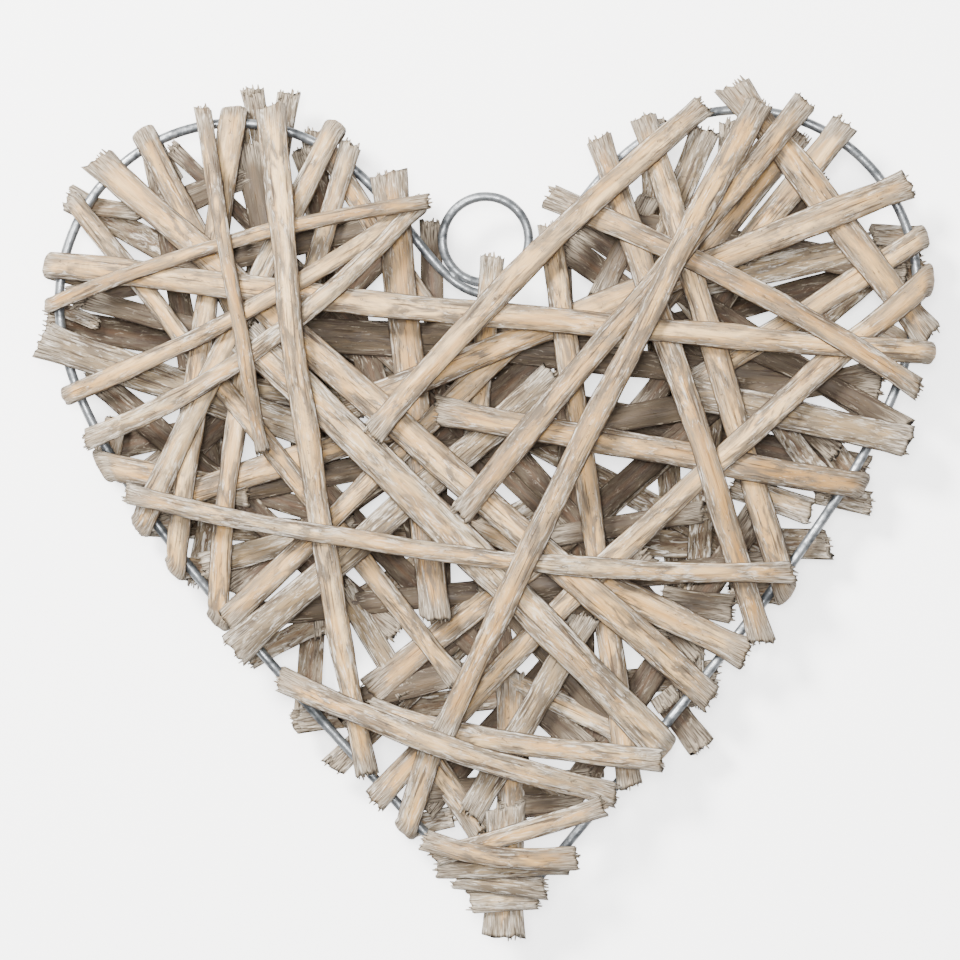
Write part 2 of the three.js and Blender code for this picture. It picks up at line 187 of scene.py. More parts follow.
# What a mask has where nothing adds to it
grainLeast = {
    "grey": 0.55, "stain": 0.2, "limeFibre": 0.2, "lime": 0.12, "crack": 0.25, "pithLime": 0.1,
    "rough": 0.5,
}
grainHeight = {"fibre": 0.5, "streak": 0.5, "stain": 0.6, "crack": -0.35, "end": 1.6}
pithLineTint = colour(84, 60, 40)
endDarkTint = colour(74, 64, 54)
endPaleTint = colour(162, 149, 131)


def makeGrainGroup():
    tree = bpy.data.node_groups.new("willowGrain", "ShaderNodeTree")
    sockets = (
        ("INPUT", "NodeSocketVector", ("Grain",)),
        ("INPUT", "NodeSocketFloat", ("Across", "Pith", "End")),
        ("INPUT", "NodeSocketColor", ("Warm", "Tan", "Grey", "Lime", "Dark")),
        ("INPUT", "NodeSocketFloat", ("Weathering", "Liming")),
        ("OUTPUT", "NodeSocketColor", ("Color",)),
        ("OUTPUT", "NodeSocketFloat", ("Roughness", "Height")),
    )
    for way, kind, names in sockets:
        for name in names:
            tree.interface.new_socket(name, in_out=way, socket_type=kind)
    given = addNode(tree, "NodeGroupInput").outputs
    out = addNode(tree, "NodeGroupOutput")
    across = given["Across"]

    def times(a, b):
        return addMath(tree, "MULTIPLY", a, b)

    def plus(a, b):
        return addMath(tree, "ADD", a, b)

    def share(value, name):
        return times(value, grainShare[name])

    def ramp(value, name):
        return addRamp(tree, value, *grainRamp[name])

    def band(value, name):
        return addBand(tree, value, *grainRamp[name])

    def atLeast(value, shareName, leastName):
        return plus(share(value, shareName), grainLeast[leastName])

    def mix(mask, a, b):
        return addMix(tree, mask, a, b)

    seen = {name: addNoise(tree, given["Grain"], *values) for name, values in grainNoise.items()}
    fibreMask = ramp(seen["fibre"], "fibre")
    edge = ramp(across, "edge")

    # warm wood, lighter and darker along the strip
    base = mix(ramp(seen["streak"], "streak"), given["Warm"], given["Tan"])
    base = mix(share(ramp(seen["tone"], "tone"), "tone"), base, given["Tan"])
    base = mix(share(ramp(seen["fibre"], "darkFibre"), "darkFibre"), base, given["Dark"])

    # grey weathering, mostly towards both edges, where the grey also stands as painted shade on the strip's
    # rounded sides; and darker stains
    greyness = plus(plus(seen["greySpot"], share(edge, "greyAndShadeAtEdge")), given["Weathering"])
    greyMask = ramp(greyness, "grey")
    base = mix(times(greyMask, atLeast(fibreMask, "greyInFibre", "grey")), base, given["Grey"])
    worn = ramp(plus(seen["patch"], given["Weathering"]), "worn")
    stainMask = ramp(plus(seen["stain"], share(edge, "stainAtEdge")), "stain")
    stainMask = times(stainMask, atLeast(worn, "stainWhereWorn", "stain"))
    stainTint = mix(grainShare["stainDark"], given["Grey"], given["Dark"])
    base = mix(share(stainMask, "stain"), base, stainTint)

    # lime wash left in the grain, thin white lines beside the edges, and a dark line of painted shade along
    # the very edges
    limeness = plus(plus(seen["limeSpot"], share(edge, "limeAtEdge")), given["Liming"])
    limeMask = times(ramp(limeness, "lime"), atLeast(fibreMask, "limeInFibre", "limeFibre"))
    limeMask = times(limeMask, atLeast(worn, "limeWhereWorn", "lime"))
    base = mix(share(limeMask, "lime"), base, given["Lime"])
    limed = plus(seen["limeSpot"], given["Liming"])
    whiteLine = times(band(across, "whiteLine"), ramp(limed, "whiteSpot"))
    base = mix(share(whiteLine, "whiteLine"), base, given["Lime"])
    # painted shade: a dark line along the very edges, in patches where the stain noise is high, for the
    # shade where a strip meets its neighbours
    edgeShadeLine = times(ramp(across, "edgeShadeLine"), ramp(seen["stain"], "edgeShadePlace"))
    base = mix(share(edgeShadeLine, "edgeShadeLine"), base, given["Dark"])

    # cracks, specks and a few small knots
    crackMask = ramp(plus(seen["crack"], share(greyMask, "crackWhereGrey")), "crack")
    crackMask = times(crackMask, atLeast(worn, "crackWhereWorn", "crack"))
    base = mix(share(crackMask, "crack"), base, given["Dark"])
    speckMask = times(ramp(seen["speck"], "speck"), ramp(seen["greySpot"], "speckPlace"))
    base = mix(share(speckMask, "speck"), base, given["Dark"])
    knotPlace = addNode(tree, "ShaderNodeMapping", {"Scale": knotScale})
    tree.links.new(given["Grain"], knotPlace.inputs["Vector"])
    knotCells = addNode(tree, "ShaderNodeTexVoronoi", {"Scale": 1.0})
    tree.links.new(knotPlace.outputs[0], knotCells.inputs["Vector"])
    knotNear = plus(knotCells.outputs["Distance"], share(seen["streak"], "knotWobble"))
    knot = times(band(knotNear, "knot"), ramp(knotCells.outputs["Color"], "knotPlace"))
    base = mix(share(knot, "knot"), base, given["Dark"])

    # the flat pith side is rougher and browner, with a line down its middle
    pithTint = mix(ramp(seen["pithFibre"], "pith"), given["Grey"], given["Dark"])
    pithLine = addMath(tree, "SUBTRACT", 1.0, ramp(across, "pithLine"))
    pithTint = mix(share(pithLine, "pithLine"), pithTint, pithLineTint)
    pithLime = times(ramp(limed, "pithLime"), atLeast(worn, "pithLimeWhereWorn", "pithLime"))
    pithTint = mix(pithLime, pithTint, given["Lime"])
    base = mix(share(given["Pith"], "pith"), base, pithTint)

    # cut ends are grey, dry and fibrous
    endTint = mix(ramp(seen["fibre"], "endFibre"), endDarkTint, endPaleTint)
    endTint = mix(share(limeMask, "lime"), endTint, given["Lime"])
    endMask = ramp(plus(given["End"], share(seen["greySpot"], "endWhereGrey")), "end")
    base = mix(share(endMask, "end"), base, endTint)

    height = times(given["Pith"], seen["pithFibre"])
    endFibre = times(ramp(given["End"], "endDepth"), seen["fibre"])
    crackDepth = ramp(seen["crack"], "crackDepth")
    heights = {**seen, "crack": crackDepth, "end": endFibre}
    for name, amount in grainHeight.items():
        height = plus(height, times(heights[name], amount))
    roughness = atLeast(greyMask, "roughWhereGrey", "rough")
    roughness = addMath(tree, "ADD", roughness, share(given["Pith"], "roughPith"), clamp=True)
    tree.links.new(base, out.inputs["Color"])
    tree.links.new(roughness, out.inputs["Roughness"])
    tree.links.new(height, out.inputs["Height"])
    return tree


grainGroup = makeGrainGroup()
willowSurface = {"bumpDepth": 0.4 * mm, "gloss": 0.35}


def makeWillow(name, look):
    material, tree, shader = newMaterial(name)
    grain = addNode(tree, "ShaderNodeGroup", node_tree=grainGroup)
    for key in ("Warm", "Tan", "Grey", "Lime", "Dark"):
        grain.inputs[key].default_value = colour(*look[key])
    for key in ("Weathering", "Liming"):
        grain.inputs[key].default_value = look[key]
    uv = addNode(tree, "ShaderNodeUVMap", uv_map="grain")
    tree.links.new(uv.outputs[0], grain.inputs["Grain"])
    for socket, attribute in (("Across", "across"), ("Pith", "pith"), ("End", "cutEnd")):
        reader = addNode(tree, "ShaderNodeAttribute", attribute_name=attribute)
        tree.links.new(reader.outputs["Fac"], grain.inputs[socket])
    relief = {"Strength": look["bump"], "Distance": willowSurface["bumpDepth"]}
    bump = addNode(tree, "ShaderNodeBump", relief)
    tree.links.new(grain.outputs["Height"], bump.inputs["Height"])
    tree.links.new(grain.outputs["Color"], shader.inputs["Base Color"])
    tree.links.new(grain.outputs["Roughness"], shader.inputs["Roughness"])
    tree.links.new(bump.outputs[0], shader.inputs["Normal"])
    shader.inputs["Specular IOR Level"].default_value = willowSurface["gloss"]
    return material


cream = {
    "Warm": (224, 188, 136), "Tan": (190, 146, 86), "Grey": (118, 107, 91), "Lime": (238, 231, 219),
    "Dark": (58, 44, 34), "Weathering": 0.02, "Liming": 0.0, "bump": 0.8,
}
tan = {**cream, "Warm": (200, 158, 98), "Tan": (160, 120, 68), "Weathering": 0.04}
limed = {**cream, "Warm": (206, 180, 137), "Weathering": 0.05, "Liming": 0.04}
grey = {
    **cream, "Warm": (162, 137, 98), "Tan": (128, 105, 72), "Grey": (118, 105, 86),
    "Weathering": 0.1, "Liming": 0.03, "bump": 0.9,
}
# the brown willow is darker than the wood's own brown: painted shade for the deep middle of the heart,
# where the inner and back strips lie
brownAndShade = {
    **cream, "Warm": (94, 74, 48), "Tan": (62, 48, 31), "Grey": (76, 66, 53), "Lime": (190, 178, 158),
    "Weathering": 0.05, "Liming": -0.03, "bump": 0.9,
}
willows = {
    "cream": makeWillow("willowCream", cream),
    "tan": makeWillow("willowTan", tan),
    "limed": makeWillow("willowLimed", limed),
    "grey": makeWillow("willowGrey", grey),
    "brownAndShade": makeWillow("willowBrownAndShade", brownAndShade),
}
print("willow materials made")


# Reading a strip: the CAD solid is a run of six-cornered sections, found from one end to the other

sectionCorners = 6
capTriangles = 4
sameWay = 0.9999          # cosine between faces that lie in one plane


def findCaps(bm):
    caps = []
    for vert in bm.verts:
        for face in vert.link_faces:
            flat = [f for f in vert.link_faces if f.normal.dot(face.normal) > sameWay]
            corners = {v for f in flat for v in f.verts}
            if len(flat) == capTriangles and len(corners) == sectionCorners:
                caps.append((corners, set(flat)))
                break
    return caps


# The walk starts at the lowest index, so that it is the same in every run
def walkRound(ring, capFaces=frozenset()):
    order = [min(ring, key=lambda v: v.index)]
    while len(order) < len(ring):
        for edge in order[-1].link_edges:
            other = edge.other_vert(order[-1])
            crossesCap = len(capFaces) > 0 and set(edge.link_faces) <= capFaces
            if other in ring and other not in order and not crossesCap:
                order.append(other)
                break
        else:
            return None
    return order


def followLast(points, last):
    count = len(points)
    starts = [(turn, way) for turn in range(count) for way in (1, -1)]
    turns = [[points[(i * way + turn) % count] for i in range(count)] for turn, way in starts]
    return min(turns, key=lambda t: sum((a - b).length for a, b in zip(t, last)))


def longestSideFirst(points):
    count = len(points)
    start = max(range(count), key=lambda i: (points[i] - points[(i + 1) % count]).length)
    return points[start:] + points[:start]


def readSections(node):
    bm = bmesh.new()
    bm.from_mesh(node.data)
    bmesh.ops.remove_doubles(bm, verts=bm.verts[:], dist=mergeDistance)
    bm.verts.index_update()
    bm.normal_update()
    caps = findCaps(bm)
    capFaces = set().union(*(faces for _, faces in caps))
    seen = set(caps[0][0])
    order = walkRound(seen, capFaces)
    sections = []
    while order:
        points = [v.co.copy() for v in order]
        sections.append(followLast(points, sections[-1]) if sections else longestSideFirst(points))
        nextRing = {e.other_vert(v) for v in seen for e in v.link_edges} - seen
        seen |= nextRing
        order = walkRound(nextRing, capFaces) if len(nextRing) == sectionCorners else None
    bm.free()
    return sections


# A path is a run of places, each with the middle of the flat side, half the width and the way to the crown

def pathOf(sections):
    path = []
    for corners in sections:
        flat = (corners[0] + corners[1]) / 2
        crown = (corners[3] + corners[4]) / 2
        path.append([flat, (corners[0] - corners[1]) / 2, crown - flat])
    return path


pathSteps = {"spacing": 1.25 * mm, "least": 10, "smoothing": 3}


def resample(path):
    cores = [flat + out * 0.5 for flat, _, out in path]
    lengths = [0.0]
    for a, b in zip(cores, cores[1:]):
        lengths.append(lengths[-1] + (b - a).length)
    total = lengths[-1]
    count = max(pathSteps["least"], round(total / pathSteps["spacing"]))
    fine = []
    i = 0
    for k in range(count + 1):
        s = total * k / count
        while i < len(lengths) - 2 and s > lengths[i + 1]:
            i += 1
        part = (s - lengths[i]) / (lengths[i + 1] - lengths[i])
        fine.append([a.lerp(b, part) for a, b in zip(path[i], path[i + 1])])
    return fine, total


def smoothed(path):
    for _ in range(pathSteps["smoothing"]):
        middle = [
            [(a + b * 2 + c) / 4 for a, b, c in zip(path[i - 1], path[i], path[i + 1])]
            for i in range(1, len(path) - 1)
        ]
        path = [path[0], *middle, path[-1]]
    return path


# A strip: a half-round section drawn along its path by extruding one ring after another

strip = {
    "domePoints": 13,
    "flatPoints": 6,
    "thicker": 1.34,
    "rimHeight": 0.1,            # of the thickness, where the bark side begins
    "fullness": 0.84,            # under 1 makes the bark side fuller
    "hollow": 0.16,              # of the thickness, on the pith side
    "girth": 5,                  # once round the section, in half widths
    "slant": 0.35,               # how far an end is cut aslant, in half widths
    "raggedRows": 6,
    "raggedLength": 1.5 * mm,
    "raggedLift": 0.35 * mm,
    "frayLength": 9.0 * mm,      # how far from a cut end its fibres part
    "frayGroove": 0.45 * mm,
    "frayFlare": 0.1,
    "endSink": 0.8 * mm,
    "endLevel": 0.6,             # how much of the slant the sunk end face loses
    "endShrink": 0.72,
    "greyEnd": 13.0 * mm,        # how far the weathering reaches from a cut end
    "greySpread": 0.7,
    "greyWaves": 5,
    "greyLayer": 1,              # of the noise
    "bendSteps": 3,              # how far to each side a bend is measured
    "bendWear": 0.9,
}

# Slow changes along a strip: size, length of a wave and the noise's own layer
drifts = {
    "width": (0.15, 22 * mm, 0.5),
    "fineWidth": (0.03, 6 * mm, 1.5),
    "side": (0.6 * mm, 35 * mm, 2.5),
    "roll": (math.radians(5.5), 50 * mm, 3.5),
}

# Grooves in the section: depth, waves across, length of a wave and the noise's own layer
grooves = ((0.34 * mm, 2.6, 30 * mm, 4.5), (0.12 * mm, 8, 12 * mm, 5.5))
frayGroove = (strip["frayGroove"], 7, 20 * mm, 6.5)

# Ragged ends: waves across, the step between the two ends, and waves upwards or the noise's own layer
raggedWaves = {"teeth": (4.5, 9.5, 1.5), "fineTeeth": (11, 3.5, 1), "fineShare": 0.5, "lift": (6, 5, 8.5)}

splinter = {
    "count": 7,                  # at each end
    "corners": 6,
    "rowsBack": 2,               # over which its direction is taken
    "spread": 0.85,              # of the half width
    "length": (1.8 * mm, 3.6 * mm),
    "root": (0.45 * mm, 0.8 * mm),
    "tip": 0.22 * mm,
    "height": (0.15, 0.6),       # the lowest, and how much more the highest has
    "sideLean": (-0.16, 0.16),
    "upLean": (-0.05, 0.12),
    "shift": (-1.0 * mm, 0.2 * mm),
    "grainStep": 3,
}
perMetre = 100                   # centimetres, as the grain has them
farthestGrain = 400              # where on the grain a strip may begin


def sectionShape():
    shape = []
    for i in range(strip["domePoints"]):
        angle = math.pi * i / (strip["domePoints"] - 1)
        rise = (1 - strip["rimHeight"]) * math.sin(angle) ** strip["fullness"]
        shape.append((math.cos(angle), strip["rimHeight"] + rise, 0))
    for i in range(1, strip["flatPoints"]):
        u = -1 + 2 * i / strip["flatPoints"]
        shape.append((u, strip["hollow"] * (1 - u * u), 1))
    return shape


stripShape = sectionShape()


def wave(*where):
    return noise.noise(Vector(where))


def drift(name, s, offset):
    size, length, layer = drifts[name]
    return size * wave(s / length, offset, layer)


def groove(look, u, s, offset):
    depth, wavesAcross, length, layer = look
    return depth * wave(u * wavesAcross + offset, s / length, layer)


def directionAt(path, k):
    k = min(max(k, 1), len(path) - 1)
    return (path[k][0] - path[k - 1][0]).normalized()


def grownFrom(vert, made):
    return next(e.other_vert(vert) for e in vert.link_edges if e.other_vert(vert) in made)


def extrudeRows(bm, count):
    ring = bmesh.ops.create_circle(bm, cap_ends=False, segments=len(stripShape), radius=mm)["verts"]
    bm.verts.index_update()
    edges = bm.edges[:]
    rows = [walkRound(set(ring))]
    for _ in range(1, count):
        grown = bmesh.ops.extrude_edge_only(bm, edges=edges)["geom"]
        made = {g for g in grown if isinstance(g, bmesh.types.BMVert)}
        edges = [g for g in grown if isinstance(g, bmesh.types.BMEdge) and all(v in made for v in g.verts)]
        rows.append([grownFrom(vert, made) for vert in rows[-1]])
    return rows


def shapeRow(row, path, k, total, offset, slants, layers):
    last = len(path) - 1
    s = total * k / last
    toEnd = min(s, total - s)
    flat, half, out = path[k]
    along = (path[min(k + 1, last)][0] - path[max(k - 1, 0)][0]).normalized()
    turn = Matrix.Rotation(drift("roll", s, offset), 3, along)
    across = turn @ half
    outward = turn @ out * strip["thicker"]
    side = across.normalized() * drift("side", s, offset)
    up = outward.normalized()
    fray = max(0.0, 1 - toEnd / strip["frayLength"])
    width = 1 + drift("width", s, offset) + drift("fineWidth", s, offset) + strip["frayFlare"] * fray
    bend = 1 - directionAt(path, k - strip["bendSteps"]).dot(directionAt(path, k + strip["bendSteps"]))
    endWay = 1 if last - k < strip["raggedRows"] else -1
    ragged = max(0.0, 1 - (last - k if endWay > 0 else k) / strip["raggedRows"])
    for (u, v, pith), vert in zip(stripShape, row):
        depth = sum(groove(look, u, s, offset) for look in grooves)
        depth += fray * fray * (1 - u * u) * groove(frayGroove, u, s, offset)
        point = flat + across * (u * width) + outward * v + side + up * depth
        if ragged:
            reach = slants[endWay > 0] * u * half.length
            reach += teethAt(u, v, endWay, offset) * strip["raggedLength"]
            point += along * (endWay * ragged * reach)
            point += up * (ragged * strip["raggedLift"] * liftAt(u, endWay, offset))
        vert.co = point
        vert[layers["across"]] = abs(u)
        vert[layers["pith"]] = pith
        spread = 1 + strip["greySpread"] * wave(u * strip["greyWaves"], offset, strip["greyLayer"])
        worn = max(0.0, 1 - toEnd / strip["greyEnd"] * spread)
        vert[layers["cutEnd"]] = max(worn, strip["bendWear"] * min(1.0, bend))


def teethAt(u, v, endWay, offset):
    (a, b, c), (d, e, f) = raggedWaves["teeth"], raggedWaves["fineTeeth"]
    fine = wave(u * d + offset, endWay * e, v * f)
    return wave(u * a + offset, endWay * b, v * c) + raggedWaves["fineShare"] * fine


def liftAt(u, endWay, offset):
    wavesAcross, endShift, layer = raggedWaves["lift"]
    return wave(u * wavesAcross + offset, endWay * endShift, layer)


def closeEnd(bm, row, inward, endLayer):
    bm.edges.index_update()
    rim = {e for v in row for e in v.link_edges if e.is_boundary}
    grown = bmesh.ops.extrude_edge_only(bm, edges=sorted(rim, key=lambda e: e.index))["geom"]
    made = [g for g in grown if isinstance(g, bmesh.types.BMVert)]
    middle = sum((v.co for v in made), Vector()) / len(made)
    for vert in made:
        fromMiddle = vert.co - middle
        sunk = inward * (strip["endSink"] - fromMiddle.dot(inward) * strip["endLevel"])
        vert.co = middle + fromMiddle * strip["endShrink"] + sunk
        vert[endLayer] = 1.0
    bmesh.ops.contextual_create(bm, geom=[g for g in grown if isinstance(g, bmesh.types.BMEdge)])


def layGrain(bm, rows, path, total, offset, uvLayer):
    size = len(stripShape)
    place = {vert: (j, k) for k, row in enumerate(rows) for j, vert in enumerate(row)}
    girth = strip["girth"] * sum(half.length for _, half, _ in path) / len(path)
    for face in bm.faces:
        wraps = {0, size - 1} <= {place[v][0] for v in face.verts if v in place}
        for loop in face.loops:
            j, k = place.get(loop.vert, (0, 0))
            j = size if wraps and j == 0 else j
            x = girth * j / size * perMetre
            y = total * k / (len(path) - 1) * perMetre
            loop[uvLayer].uv = (x + offset, y + offset)


def addSplinters(bm, rng, path, end, way, layers, uvLayer, offset):
    flat, half, out = path[end]
    along = (flat - path[end - way * splinter["rowsBack"]][0]).normalized()
    side = half.normalized()
    lowest, more = splinter["height"]
    for _ in range(splinter["count"]):
        u = rng.uniform(-splinter["spread"], splinter["spread"])
        length = rng.uniform(*splinter["length"])
        spot = flat + half * u + out * (lowest + more * rng.random() * math.sqrt(1 - u * u))
        lean = along + side * rng.uniform(*splinter["sideLean"])
        lean += out.normalized() * rng.uniform(*splinter["upLean"])
        turn = lean.to_track_quat("Z", "Y").to_matrix().to_4x4()
        made = bmesh.ops.create_cone(
            bm, cap_ends=True, segments=splinter["corners"], depth=length,
            matrix=Matrix.Translation(spot + along * rng.uniform(*splinter["shift"])) @ turn,
            radius1=rng.uniform(*splinter["root"]), radius2=splinter["tip"])["verts"]
        for vert in made:
            vert[layers["across"]] = abs(u)
            vert[layers["cutEnd"]] = 1.0
        for face in {f for v in made for f in v.link_faces}:
            for loop in face.loops:
                local = (loop.vert.co - spot) * perMetre
                loop[uvLayer].uv = (offset + u * splinter["grainStep"] + local.dot(side), local.dot(along))


def buildStrip(path, total, seed):
    rng = random.Random(seed)
    offset = rng.uniform(0, farthestGrain)
    bm = bmesh.new()
    uvLayer = bm.loops.layers.uv.new("grain")
    for name in ("across", "pith", "cutEnd"):
        bm.verts.layers.float.new(name)
    layers = {name: bm.verts.layers.float[name] for name in ("across", "pith", "cutEnd")}
    rows = extrudeRows(bm, len(path))
    slants = [rng.uniform(-strip["slant"], strip["slant"]) for _ in range(2)]
    for k, row in enumerate(rows):
        shapeRow(row, path, k, total, offset, slants, layers)
    onwards = (path[-1][0] - path[0][0]).normalized()
    closeEnd(bm, rows[0], onwards, layers["cutEnd"])
    closeEnd(bm, rows[-1], -onwards, layers["cutEnd"])
    bmesh.ops.recalc_face_normals(bm, faces=bm.faces[:])
    layGrain(bm, rows, path, total, offset, uvLayer)
    for end, way in ((0, -1), (len(path) - 1, 1)):
        addSplinters(bm, rng, path, end, way, layers, uvLayer, offset)
    for vert in bm.verts:        # nothing sinks into the floor
        vert.co.z = max(vert.co.z, 0.0)
    return bm


def addStrip(name, path, tone, seed, nodes=()):
    fine, total = resample(path)
    bm = buildStrip(smoothed(fine), total, seed)
    newPiece(name, bm, willows[tone], nodes)


# The strips that have a node, in their own tones; the others are cream
stripTones = {
    "front": {
        "limed": (6, 13, 24, 28, 29, 32, 34, 40, 43, 44, 45, 48),
        "tan": (1, 8, 14, 17, 25, 30, 35, 36, 37, 39, 42, 49),
        "grey": (5, 7, 16, 22, 46, 47),
        "brownAndShade": (2,),
    },
    "back": {"tan": (7,), "grey": (1, 2, 4, 6, 9), "brownAndShade": (3, 5)},
}
firstSeed = {"front": 0, "back": 100, "inner": 200}


def toneFor(side, number):
    return next((tone for tone, numbers in stripTones[side].items() if number in numbers), "cream")


def makeStrip(nodeName):
    side, _, digits = nodeName.split("_")
    number = int(digits)
    path = pathOf(readSections(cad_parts[nodeName]))
    name = nodeName.replace("strip", "willow")
    addStrip(name, path, toneFor(side, number), firstSeed[side] + number, [nodeName])


stripNodes = sorted(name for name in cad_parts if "strip" in name)
for nodeName in stripNodes:
    makeStrip(nodeName)
print("strips made:", len(stripNodes))


# Short inner strips fill the middle of the heart, between the front and the back, and end against the
# wire. Each row: a point it passes through, its direction and width, its reach backwards and onwards,
# and its tone, in mm and degrees.
# Most take the brown willow, whose darkness is partly painted shade for the deep middle.
inner = {
    "thickness": 1.0 * mm,
    "gap": 2.3 * mm,             # from the wire's centre to a strip's end
    "step": 1.0 * mm,
    "underWire": -2.9 * mm,      # the middle of a strip that passes behind the wire
    "dipStart": 6.0 * mm,        # where it begins to dip, before the wire
    "dipAtWire": 0.9,
    "under": (
        (-18, 60, 90, 7, 110, 36, "brownAndShade"), (57, -66, -55, 8.5, 25, 18, "brownAndShade"),
        (-72, 118, 100, 7, 40, 24, "grey"), (112, 2, -12, 7.5, 40, 14, "grey"),
        (-52, -32, 207, 7.5, 80, 34, "cream"),
    ),
    "levels": (-1.2 * mm, -0.6 * mm, 0.0, 0.6 * mm, 1.15 * mm),
    "rows": (
        (
            (-62, 20, -84, 8, 90, 60, "brownAndShade"), (26, 30, -88, 8, 70, 120, "brownAndShade"),
            (74, 40, -96, 8.5, 90, 100, "grey"), (-100, 60, -82, 8, 60, 60, "brownAndShade"),
            (-40, 50, -75, 9, 90, 90, "brownAndShade"), (0, -30, -84, 8, 60, 60, "brownAndShade"),
        ),
        (
            (-70, 5, -18, 7, 22, 22, "brownAndShade"), (43, 6, 40, 9, 120, 70, "brownAndShade"),
            (59, -44, 55, 9, 60, 50, "brownAndShade"), (-60, 60, 44, 8, 90, 60, "brownAndShade"),
            (-10, 30, 35, 8.5, 110, 50, "brownAndShade"), (-95, 30, 38, 8, 50, 60, "brownAndShade"),
            (10, -60, 47, 8.5, 60, 60, "brownAndShade"), (80, 70, 52, 8, 50, 50, "brownAndShade"),
        ),
        (
            (-81, 100, -46, 5, 50, 150, "brownAndShade"), (37, 89, -34, 8, 20, 110, "brownAndShade"),
            (98, 23, -55, 8, 60, 60, "limed"), (-100, 20, -42, 9, 50, 90, "brownAndShade"),
            (-50, 30, -40, 8, 40, 100, "brownAndShade"), (60, 60, -38, 8.5, 60, 70, "brownAndShade"),
            (40, -20, -50, 8, 60, 70, "brownAndShade"), (-30, -20, -48, 8, 50, 60, "brownAndShade"),
        ),
        (
            (-77.0, 116.3, -80, 9.5, 14, 40, "brownAndShade"), (-28, 57, -4, 12, 40, 75, "brownAndShade"),
            (0, 22, 9, 8.5, 130, 130, "brownAndShade"), (-20, -28, 4, 8, 80, 110, "brownAndShade"),
            (-90, 84, 12, 8, 50, 60, "brownAndShade"), (95, 84, -12, 8.5, 60, 50, "brownAndShade"),
            (60, 46, -7, 9, 70, 80, "brownAndShade"), (-10, -92, 3, 7, 40, 40, "brownAndShade"),
            (-85, -13, 13, 8, 30, 40, "grey"), (-97, 106, 22, 9, 12, 20, "brownAndShade"),
            (-50, -62, 12, 8, 30, 40, "brownAndShade"), (44, -6, 8, 7, 26, 26, "brownAndShade"),
            (28, -35, -12, 7, 30, 30, "brownAndShade"), (-90, 44, -10, 8, 50, 50, "grey"),
            (17.6, -70, -44, 8.5, 20, 15, "brownAndShade"), (-40, -43, -60, 8.5, 22, 20, "grey"),
            (43, 80, 62, 7, 12, 25, "brownAndShade"),
        ),
        (
            (91, 105, 49, 8, 70, 40, "tan"), (63, 98, 68, 8.5, 28, 32, "grey"),
            (102.5, 79, 11, 9, 35, 25, "grey"), (-17.3, -40.4, 37, 9.5, 31, 45, "tan"),
            (-18.5, -88.6, -56, 9, 15, 22, "cream"), (98.5, -1.0, -22, 8.5, 20, 22, "limed"),
            (74.6, -34.4, -10, 9, 20, 14, "brownAndShade"), (-117.8, 69, -15.5, 7, 15, 40, "brownAndShade"),
            (14.6, -97.8, 3, 7.5, 14, 14, "brownAndShade"), (19, -64, -27, 7, 22, 30, "limed"),
            (10, -88, -26, 6, 15, 14, "cream"), (4, -80, -91, 9, 26, 24, "limed"),
            (36, -70, -50, 8.5, 60, 30, "brownAndShade"),
        ),
    ),
}


def wireOutline():
    corners = [vert.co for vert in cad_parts["heart_wire_frame"].data.vertices]
    return sorted((math.atan2(corner.y, corner.x), math.hypot(corner.x, corner.y)) for corner in corners)


outline = wireOutline()


def insideWire(x, y):
    angle = math.atan2(y, x)
    nearest = min(outline, key=lambda spot: abs(spot[0] - angle))
    return math.hypot(x, y) < nearest[1] - inner["gap"]


def wayOf(degrees):
    return Vector((math.cos(math.radians(degrees)), math.sin(math.radians(degrees)), 0))


def innerPath(x, y, degrees, width, back, ahead, level):
    way = wayOf(degrees)
    middle = Vector((x * mm, y * mm, wirePlane + level))
    across = Vector((-way.y, way.x, 0)) * (width / 2 * mm)
    out = Vector((0, 0, inner["thickness"] if level > 0 else -inner["thickness"]))
    ends = []
    for sign, reach in ((-1, back), (1, ahead)):
        length = 0.0
        while length < reach * mm:
            tip = middle + way * (sign * (length + inner["step"]))
            if not all(insideWire(*(tip + across * side).xy) for side in (-1, 0, 1)):
                break
            length += inner["step"]
        ends.append(middle + way * (sign * length) - out / 2)
    return [[end, across, out] for end in ends]


def behindPath(x, y, degrees, width, back, ahead):
    level = inner["levels"][0]
    start, (edge, across, out) = innerPath(x, y, degrees, width, back, ahead, level)
    way = wayOf(degrees)
    dip = Vector((0, 0, inner["underWire"] - level))
    tip = Vector((x * mm, y * mm, edge.z)) + way * (ahead * mm) + dip
    spots = (edge - way * inner["dipStart"], edge + dip * inner["dipAtWire"], tip)
    return [start, *([spot, across, out] for spot in spots)]


innerPaths = []
for level, rows in zip(inner["levels"], inner["rows"]):
    innerPaths += [(innerPath(*row, level), tone) for *row, tone in rows]
innerPaths += [(behindPath(*row), tone) for *row, tone in inner["under"]]
for number, (path, tone) in enumerate(innerPaths, 1):
    addStrip(f"inner_willow_{number:02d}", path, tone, firstSeed["inner"] + number)
print("inner strips made:", len(innerPaths))


# Galvanised wire and ring

zincLook = {
    "base": (140, 143, 146),
    "dull": (80, 83, 86),
    "dullFrom": (0.38, 0.66),
    "metal": 0.75,
    "rough": 0.36,
    "roughSpread": 0.25,
    "cloud": {"Scale": 260.0, "Detail": 4.0, "Roughness": 0.6},
    "fine": {"Scale": 1300.0, "Detail": 3.0, "Roughness": 0.6},
    "fineShare": 0.4,
    "bump": {"Strength": 0.35, "Distance": 0.2 * mm},
}


